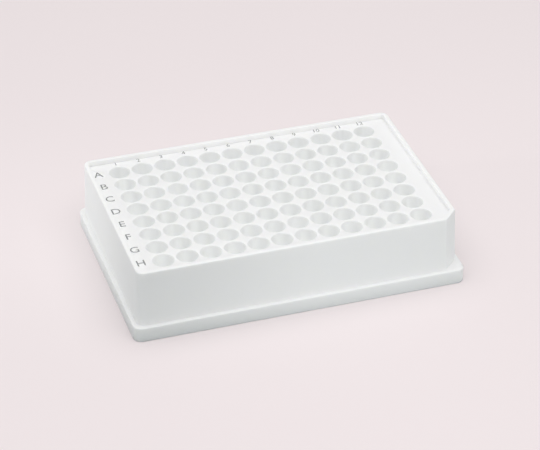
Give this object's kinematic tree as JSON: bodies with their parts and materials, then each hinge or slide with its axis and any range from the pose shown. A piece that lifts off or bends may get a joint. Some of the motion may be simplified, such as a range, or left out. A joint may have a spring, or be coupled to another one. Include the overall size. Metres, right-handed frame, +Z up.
{
  "type": "well plate",
  "caption": "Laboratory well plate moulded in one piece: round wells in a flat deck inside a raised rim, one cut corner, and a flanged foot that is hollow beneath and stacks.",
  "frame": {"origin": "the middle of the base, at the foot of the flange", "axes": "+X along the long side from column 1 to column 12, +Y to the back, where row A is, +Z up"},
  "size_m": [0.1278, 0.0854, 0.028],
  "materials": {
    "natural_plastic": "milky, slightly see-through natural polypropylene with a satin surface"
  },
  "bodies": {
    "root": {"well_plate": "natural_plastic"}
  },
  "joints": []
}
